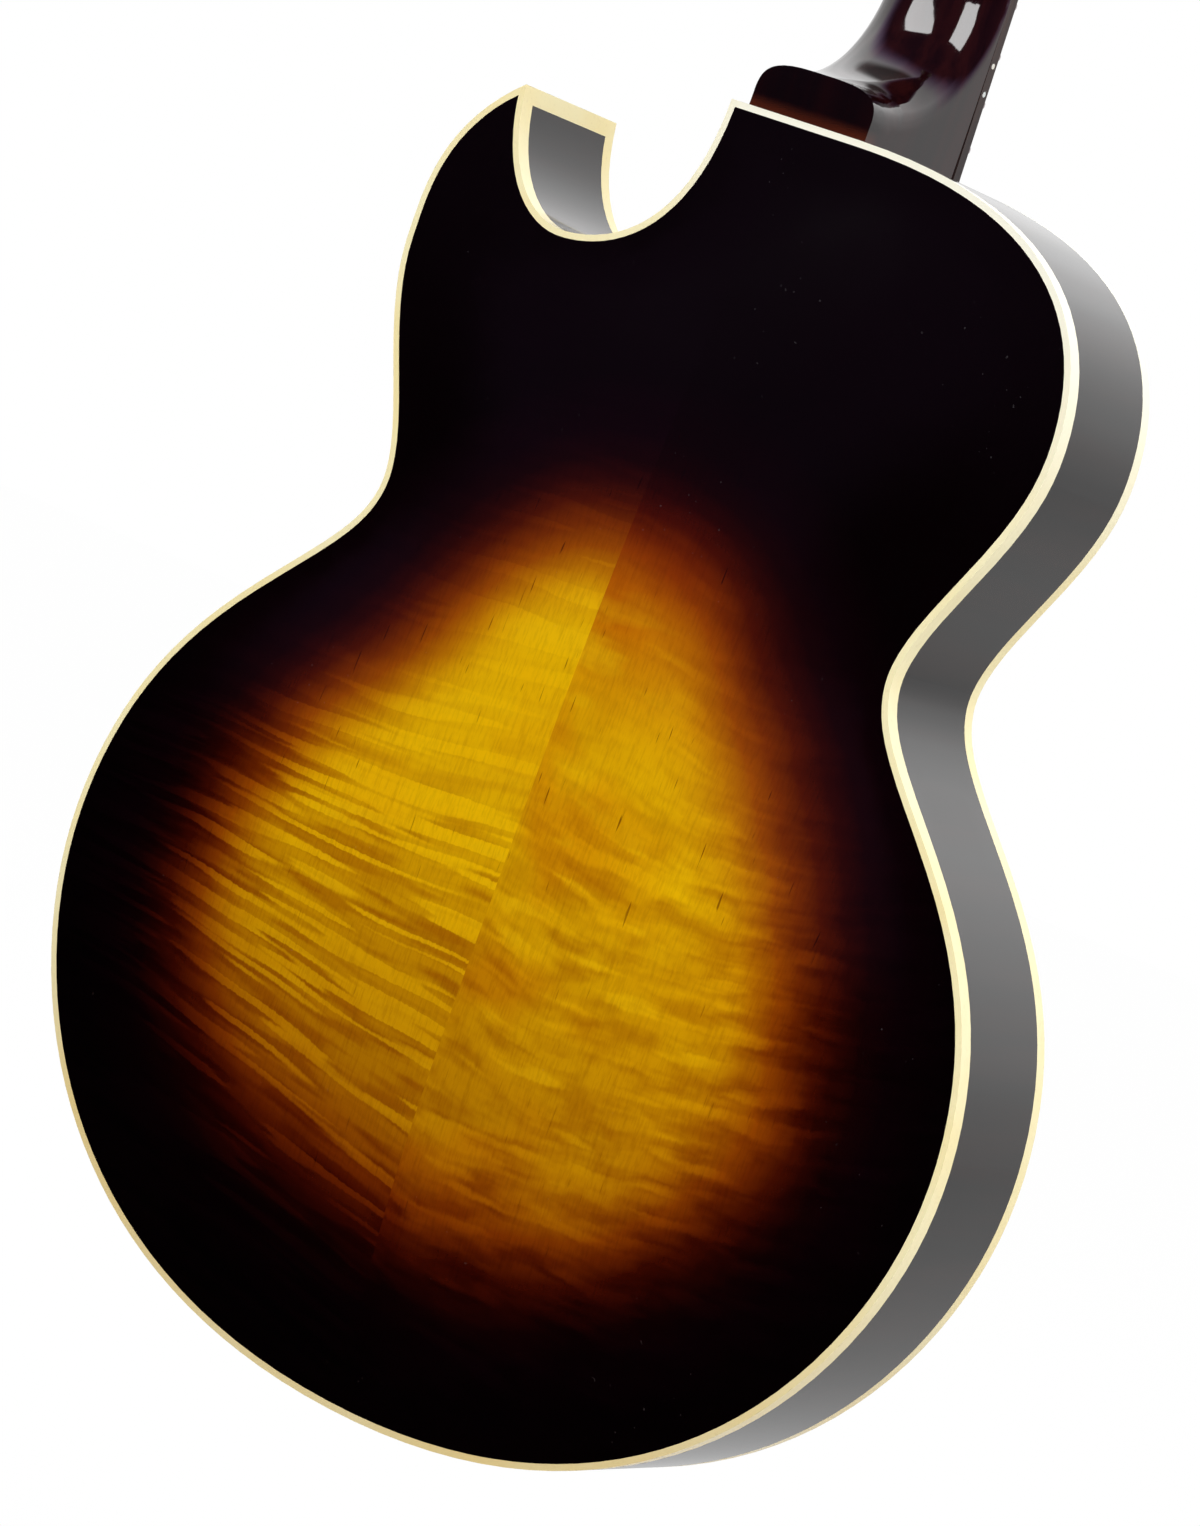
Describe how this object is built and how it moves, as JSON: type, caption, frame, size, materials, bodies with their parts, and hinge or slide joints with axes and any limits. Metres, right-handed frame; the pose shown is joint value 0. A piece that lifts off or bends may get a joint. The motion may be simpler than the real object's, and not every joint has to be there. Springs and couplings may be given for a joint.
{
  "type": "archtop guitar",
  "caption": "Hollow electric archtop guitar with a single cutaway, sunburst maple body, bound edges, floating bridge and trapeze tailpiece, played by plucking its strings.",
  "frame": {"origin": "end pin seat at the middle of the tail rim", "axes": "+Z along the body from the tail to the head, +X to the treble (cutaway) side, -Y out of the front, +Y out of the back"},
  "size_m": [0.4064, 0.1223, 1.0419],
  "materials": {
    "back_maple": "gloss",
    "top_maple": "gloss",
    "rim_maple": "gloss",
    "binding": "gloss",
    "inner_wood": "matte",
    "pin_metal": "polished",
    "neck_wood": "gloss",
    "black_veneer": "gloss",
    "rosewood": "satin",
    "fret_wire": "polished",
    "pearl": "gloss",
    "bone": "satin",
    "steel": "plain",
    "brass_nut": "plain",
    "black_plastic": "gloss",
    "guard_plastic": "gloss",
    "nickel": "polished",
    "pot_metal": "plain",
    "tip_plastic": "gloss",
    "knob_plastic": "gloss",
    "string_wire": "wound"
  },
  "bodies": {
    "body": {"back_bass_half": "back_maple", "back_binding": "binding", "back_treble_half": "back_maple", "bass_side": "rim_maple", "bridge_base": "rosewood", "control_pots": "pot_metal", "cutaway_side": "rim_maple", "end_block": "inner_wood", "end_pin": "pin_metal", "fingerboard": "rosewood", "frets": "fret_wire", "headstock_veneer": "black_veneer", "inlays": "pearl", "linings": "inner_wood", "neck": "neck_wood", "neck_block": "inner_wood", "nut": "bone", "output_jack": "nickel", "pickguard": "guard_plastic", "pickguard_bracket": "nickel", "pickup_rings": "black_plastic", "strings": "string_wire", "switch_body": "nickel", "tailpiece": "nickel", "tone_bars": "inner_wood", "top_bass_half": "top_maple", "top_binding": "binding", "top_treble_half": "top_maple", "treble_side": "rim_maple", "truss_rod": "steel", "truss_rod_cover": "black_plastic", "tuner_housings": "nickel", "wood_screws": "nickel"},
    "bridge_pickup_screw_bass": {"bridge_pickup_screw_bass": "nickel"},
    "bridge_pickup_screw_treble": {"bridge_pickup_screw_treble": "nickel"},
    "bridge_tone_knob": {"bridge_tone_knob": "knob_plastic"},
    "bridge_volume_knob": {"bridge_volume_knob": "knob_plastic"},
    "neck_pickup_screw_bass": {"neck_pickup_screw_bass": "nickel"},
    "neck_pickup_screw_treble": {"neck_pickup_screw_treble": "nickel"},
    "neck_tone_knob": {"neck_tone_knob": "knob_plastic"},
    "neck_volume_knob": {"neck_volume_knob": "knob_plastic"},
    "tuner_button_1": {"tuner_button_1": "nickel"},
    "tuner_button_2": {"tuner_button_2": "nickel"},
    "tuner_button_3": {"tuner_button_3": "nickel"},
    "tuner_button_4": {"tuner_button_4": "nickel"},
    "tuner_button_5": {"tuner_button_5": "nickel"},
    "tuner_button_6": {"tuner_button_6": "nickel"},
    "tuner_post_1": {"tuner_post_1": "nickel"},
    "tuner_post_2": {"tuner_post_2": "nickel"},
    "tuner_post_3": {"tuner_post_3": "nickel"},
    "tuner_post_4": {"tuner_post_4": "nickel"},
    "tuner_post_5": {"tuner_post_5": "nickel"},
    "tuner_post_6": {"tuner_post_6": "nickel"},
    "switch_lever": {"switch_lever": "tip_plastic"},
    "bridge_saddle": {"bridge_saddle": "rosewood"},
    "thumbwheel_bass": {"thumbwheel_bass": "nickel"},
    "thumbwheel_treble": {"thumbwheel_treble": "nickel"},
    "neck_pickup": {"neck_pickup": "nickel"},
    "bridge_pickup": {"bridge_pickup": "nickel"},
    "truss_rod_nut": {"truss_rod_nut": "brass_nut"}
  },
  "joints": [
    {"name": "tuner_1_button_turn", "type": "hinge", "parent": "body", "child": "tuner_button_1", "pos_m": [-0.02229, 0.01095, 0.90602], "axis": [-1, 0, 0], "continuous": true},
    {"name": "tuner_1_post_turn", "type": "hinge", "parent": "body", "child": "tuner_post_1", "pos_m": [-0.02229, -0.01195, 0.90409], "axis": [0, -0.9397, 0.342], "continuous": true},
    {"name": "tuner_2_button_turn", "type": "hinge", "parent": "body", "child": "tuner_button_2", "pos_m": [-0.02405, 0.02394, 0.94173], "axis": [-1, 0, 0], "continuous": true},
    {"name": "tuner_2_post_turn", "type": "hinge", "parent": "body", "child": "tuner_post_2", "pos_m": [-0.02405, 0.00105, 0.9398], "axis": [0, -0.9397, 0.342], "continuous": true},
    {"name": "tuner_3_button_turn", "type": "hinge", "parent": "body", "child": "tuner_button_3", "pos_m": [-0.02582, 0.03694, 0.97744], "axis": [-1, 0, 0], "continuous": true},
    {"name": "tuner_3_post_turn", "type": "hinge", "parent": "body", "child": "tuner_post_3", "pos_m": [-0.02582, 0.01405, 0.9755], "axis": [0, -0.9397, 0.342], "continuous": true},
    {"name": "tuner_4_button_turn", "type": "hinge", "parent": "body", "child": "tuner_button_4", "pos_m": [0.02582, 0.03694, 0.97744], "axis": [1, 0, 0], "continuous": true},
    {"name": "tuner_4_post_turn", "type": "hinge", "parent": "body", "child": "tuner_post_4", "pos_m": [0.02582, 0.01405, 0.9755], "axis": [0, -0.9397, 0.342], "continuous": true},
    {"name": "tuner_5_button_turn", "type": "hinge", "parent": "body", "child": "tuner_button_5", "pos_m": [0.02405, 0.02394, 0.94173], "axis": [1, 0, 0], "continuous": true},
    {"name": "tuner_5_post_turn", "type": "hinge", "parent": "body", "child": "tuner_post_5", "pos_m": [0.02405, 0.00105, 0.9398], "axis": [0, -0.9397, 0.342], "continuous": true},
    {"name": "tuner_6_button_turn", "type": "hinge", "parent": "body", "child": "tuner_button_6", "pos_m": [0.02229, 0.01095, 0.90602], "axis": [1, 0, 0], "continuous": true},
    {"name": "tuner_6_post_turn", "type": "hinge", "parent": "body", "child": "tuner_post_6", "pos_m": [0.02229, -0.01195, 0.90409], "axis": [0, -0.9397, 0.342], "continuous": true},
    {"name": "bridge_tone_knob_turn", "type": "hinge", "parent": "body", "child": "bridge_tone_knob", "pos_m": [0.12598, -0.03706, 0.08354], "axis": [0.1114, -0.9877, -0.1096], "range_deg": [-150, 150]},
    {"name": "bridge_volume_knob_turn", "type": "hinge", "parent": "body", "child": "bridge_volume_knob", "pos_m": [0.1077, -0.04378, 0.12735], "axis": [0.1215, -0.9899, -0.0731], "range_deg": [-150, 150]},
    {"name": "neck_tone_knob_turn", "type": "hinge", "parent": "body", "child": "neck_tone_knob", "pos_m": [0.16601, -0.03552, 0.12939], "axis": [0.1224, -0.9915, -0.0437], "range_deg": [-150, 150]},
    {"name": "neck_volume_knob_turn", "type": "hinge", "parent": "body", "child": "neck_volume_knob", "pos_m": [0.15037, -0.03906, 0.17727], "axis": [0.1676, -0.9858, 0.007], "range_deg": [-150, 150]},
    {"name": "switch_tilt", "type": "hinge", "parent": "body", "child": "switch_lever", "pos_m": [-0.0854, -0.03484, 0.42882], "axis": [0.0017, 0.0455, 0.999], "range_deg": [-13, 13]},
    {"name": "truss_rod_nut_turn", "type": "hinge", "parent": "body", "child": "truss_rod_nut", "pos_m": [0, -0.01952, 0.86348], "axis": [0, 0.0523, 0.9986], "range_deg": [-180, 180]},
    {"name": "bridge_height", "type": "slide", "parent": "body", "child": "bridge_saddle", "axis": [0, -1, 0], "range_m": [-0.0015, 0.002], "deforming": ["strings"]},
    {"name": "thumbwheel_bass_turn", "type": "hinge", "parent": "bridge_saddle", "child": "thumbwheel_bass", "pos_m": [-0.037, -0.05869, 0.2277], "axis": [0, -1, 0], "range_deg": [-772, 1029]},
    {"name": "thumbwheel_treble_turn", "type": "hinge", "parent": "bridge_saddle", "child": "thumbwheel_treble", "pos_m": [0.037, -0.05869, 0.2277], "axis": [0, -1, 0], "range_deg": [-772, 1029]},
    {"name": "neck_pickup_height", "type": "slide", "parent": "body", "child": "neck_pickup", "axis": [0, -0.9986, 0.0523], "range_m": [-0.002, 0.0015]},
    {"name": "neck_pickup_screw_bass_turn", "type": "hinge", "parent": "body", "child": "neck_pickup_screw_bass", "pos_m": [-0.03895, -0.05594, 0.3921], "axis": [0, -0.9986, 0.0523], "range_deg": [-1081, 1441]},
    {"name": "neck_pickup_screw_treble_turn", "type": "hinge", "parent": "body", "child": "neck_pickup_screw_treble", "pos_m": [0.03895, -0.05594, 0.3921], "axis": [0, -0.9986, 0.0523], "range_deg": [-1081, 1441]},
    {"name": "bridge_pickup_height", "type": "slide", "parent": "body", "child": "bridge_pickup", "axis": [0, -0.9986, 0.0523], "range_m": [-0.002, 0.0015]},
    {"name": "bridge_pickup_screw_bass_turn", "type": "hinge", "parent": "body", "child": "bridge_pickup_screw_bass", "pos_m": [-0.03895, -0.06228, 0.27126], "axis": [0, -0.9986, 0.0523], "range_deg": [-1081, 1441]},
    {"name": "bridge_pickup_screw_treble_turn", "type": "hinge", "parent": "body", "child": "bridge_pickup_screw_treble", "pos_m": [0.03895, -0.06228, 0.27126], "axis": [0, -0.9986, 0.0523], "range_deg": [-1081, 1441]}
  ],
  "couplings": [
    {"joint": "tuner_1_post_turn", "follows": "tuner_1_button_turn", "ratio": -0.071429},
    {"joint": "tuner_2_post_turn", "follows": "tuner_2_button_turn", "ratio": -0.071429},
    {"joint": "tuner_3_post_turn", "follows": "tuner_3_button_turn", "ratio": -0.071429},
    {"joint": "tuner_4_post_turn", "follows": "tuner_4_button_turn", "ratio": 0.071429},
    {"joint": "tuner_5_post_turn", "follows": "tuner_5_button_turn", "ratio": 0.071429},
    {"joint": "tuner_6_post_turn", "follows": "tuner_6_button_turn", "ratio": 0.071429},
    {"joint": "thumbwheel_bass_turn", "follows": "bridge_height", "rad_per_m": 8976},
    {"joint": "thumbwheel_treble_turn", "follows": "bridge_height", "rad_per_m": 8976},
    {"joint": "neck_pickup_screw_bass_turn", "follows": "neck_pickup_height", "rad_per_m": -12566},
    {"joint": "neck_pickup_screw_treble_turn", "follows": "neck_pickup_height", "rad_per_m": -12566},
    {"joint": "bridge_pickup_screw_bass_turn", "follows": "bridge_pickup_height", "rad_per_m": -12566},
    {"joint": "bridge_pickup_screw_treble_turn", "follows": "bridge_pickup_height", "rad_per_m": -12566}
  ]
}
